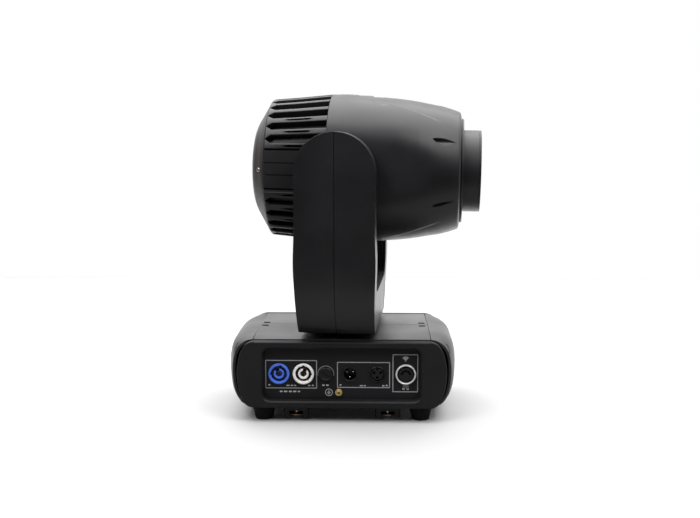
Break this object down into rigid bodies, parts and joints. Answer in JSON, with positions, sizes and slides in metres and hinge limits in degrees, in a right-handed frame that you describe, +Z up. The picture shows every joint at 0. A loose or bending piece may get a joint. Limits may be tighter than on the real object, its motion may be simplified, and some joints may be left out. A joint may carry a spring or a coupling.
{
  "type": "moving head light",
  "caption": "Stage spotlight with a barrel head that tilts in a yoke, which pans on a box base with power and data sockets.",
  "frame": {"origin": "where the pan axis meets the flat boss under the base tray, 18.5 mm above the floor that the feet stand on", "axes": "+Z up along the pan axis; -Y towards the connector side, +Y towards the display side; +X the way the beam points, to within 4.1 degrees at rest"},
  "size_m": [0.3209, 0.2338, 0.3995],
  "materials": {
    "black_abs": "satin fine-textured moulded plastic",
    "black_painted_metal": "satin powder coat",
    "black_plastic": "satin",
    "blue_plastic": "satin",
    "white_plastic": "satin",
    "rubber": "matt",
    "chrome": "polished nickel",
    "brass": "plated brass",
    "gloss_window": "gloss",
    "aluminium": "machined",
    "steel": "zinc plated sheet",
    "lens_glass": "clear optical glass",
    "circuit_board": "solder mask"
  },
  "bodies": {
    "base": {"base_tray": "black_painted_metal", "connector_frame": "black_abs", "display_frame": "black_abs", "side_shell_right": "black_abs", "side_shell_left": "black_abs", "top_cover_connector_side": "black_abs", "top_cover_display_side": "black_abs", "connector_panel": "black_painted_metal", "display_panel": "black_painted_metal", "power_inlet": "blue_plastic", "power_outlet": "white_plastic", "data_inlet": "black_plastic", "data_outlet": "black_plastic", "five_pin_socket": "chrome", "ground_screw": "brass", "display_window": "gloss_window", "rubber_foot_1": "rubber", "rubber_foot_2": "rubber", "rubber_foot_3": "rubber", "rubber_foot_4": "rubber", "bracket_receptacle_1": "black_plastic", "bracket_receptacle_2": "black_plastic", "bracket_receptacle_3": "black_plastic", "bracket_receptacle_4": "black_plastic", "power_supply": "aluminium", "control_board": "circuit_board", "pan_shaft": "aluminium", "pan_pulley": "aluminium"},
    "yoke": {"yoke_cover_rear": "black_abs", "yoke_cover_front": "black_abs", "yoke_frame": "steel", "pan_motor": "steel", "pan_belt": "rubber", "tilt_motor": "steel", "tilt_belt": "rubber"},
    "head": {"head_front_shell": "black_abs", "head_rear_housing": "black_abs", "rear_cap": "black_abs", "front_ring": "black_abs", "lens_barrel": "black_abs", "front_lens": "lens_glass", "head_chassis": "steel", "drive_trunnion": "aluminium", "idle_trunnion": "aluminium", "tilt_pulley": "aluminium", "light_engine": "aluminium", "wheel_motor_bracket": "steel", "fan_frame": "black_plastic"},
    "pan_motor_pulley": {"pan_motor_pulley": "aluminium"},
    "tilt_motor_pulley": {"tilt_motor_pulley": "aluminium"},
    "colour_wheel": {"colour_wheel": "aluminium"},
    "gobo_wheel": {"gobo_wheel": "steel"},
    "focus_carriage": {"focus_carriage": "aluminium"},
    "fan_rotor": {"fan_rotor": "black_plastic"},
    "fuse_cap": {"fuse_cap": "black_plastic"},
    "socket_latch": {"socket_latch": "black_plastic"},
    "menu_button_1": {"menu_button_1": "black_plastic"},
    "menu_button_2": {"menu_button_2": "black_plastic"},
    "menu_button_3": {"menu_button_3": "black_plastic"},
    "menu_button_4": {"menu_button_4": "black_plastic"}
  },
  "joints": [
    {"name": "pan", "type": "hinge", "parent": "base", "child": "yoke", "pos_m": [0, 0, 0.091], "axis": [0, 0, 1], "range_deg": [-270, 270]},
    {"name": "tilt", "type": "hinge", "parent": "yoke", "child": "head", "pos_m": [0, 0, 0.2876], "axis": [-0.0708, -0.9975, 0], "range_deg": [-41, 222]},
    {"name": "pan_motor_pulley_spin", "type": "hinge", "parent": "yoke", "child": "pan_motor_pulley", "pos_m": [0.00368, 0.05187, 0.101], "axis": [0, 0, 1], "range_deg": [-1220, 1220]},
    {"name": "tilt_motor_pulley_spin", "type": "hinge", "parent": "yoke", "child": "tilt_motor_pulley", "pos_m": [0.00754, 0.10613, 0.1956], "axis": [-0.0708, -0.9975, 0], "range_deg": [-170, 900]},
    {"name": "colour_wheel_spin", "type": "hinge", "parent": "head", "child": "colour_wheel", "pos_m": [0.0076, -0.00054, 0.26049], "axis": [0.9974, -0.0708, -0.014], "continuous": true},
    {"name": "gobo_wheel_spin", "type": "hinge", "parent": "head", "child": "gobo_wheel", "pos_m": [0.02032, -0.00144, 0.31432], "axis": [0.9974, -0.0708, -0.014], "continuous": true},
    {"name": "focus_slide", "type": "slide", "parent": "head", "child": "focus_carriage", "axis": [0.9974, -0.0708, -0.014], "range_m": [-0.024, 0.03]},
    {"name": "fan_spin", "type": "hinge", "parent": "head", "child": "fan_rotor", "pos_m": [-0.0753, 0.00535, 0.28866], "axis": [0.9974, -0.0708, -0.014], "continuous": true},
    {"name": "fuse_cap_turn", "type": "hinge", "parent": "base", "child": "fuse_cap", "pos_m": [-0.0195, -0.084, 0.041], "axis": [0, -1, 0], "range_deg": [0, 90]},
    {"name": "socket_latch_press", "type": "slide", "parent": "base", "child": "socket_latch", "axis": [0, 0, -1], "range_m": [0, 0.0015], "stiffness_N_per_m": 300, "springref_m": -0.0005},
    {"name": "menu_button_1_press", "type": "slide", "parent": "base", "child": "menu_button_1", "axis": [0, -1, 0], "range_m": [0, 0.001], "stiffness_N_per_m": 300, "springref_m": -0.0005},
    {"name": "menu_button_2_press", "type": "slide", "parent": "base", "child": "menu_button_2", "axis": [0, -1, 0], "range_m": [0, 0.001], "stiffness_N_per_m": 300, "springref_m": -0.0005},
    {"name": "menu_button_3_press", "type": "slide", "parent": "base", "child": "menu_button_3", "axis": [0, -1, 0], "range_m": [0, 0.001], "stiffness_N_per_m": 300, "springref_m": -0.0005},
    {"name": "menu_button_4_press", "type": "slide", "parent": "base", "child": "menu_button_4", "axis": [0, -1, 0], "range_m": [0, 0.001], "stiffness_N_per_m": 300, "springref_m": -0.0005}
  ],
  "couplings": [
    {"joint": "pan_motor_pulley_spin", "follows": "pan", "ratio": -4.5},
    {"joint": "tilt_motor_pulley_spin", "follows": "tilt", "ratio": 4}
  ]
}
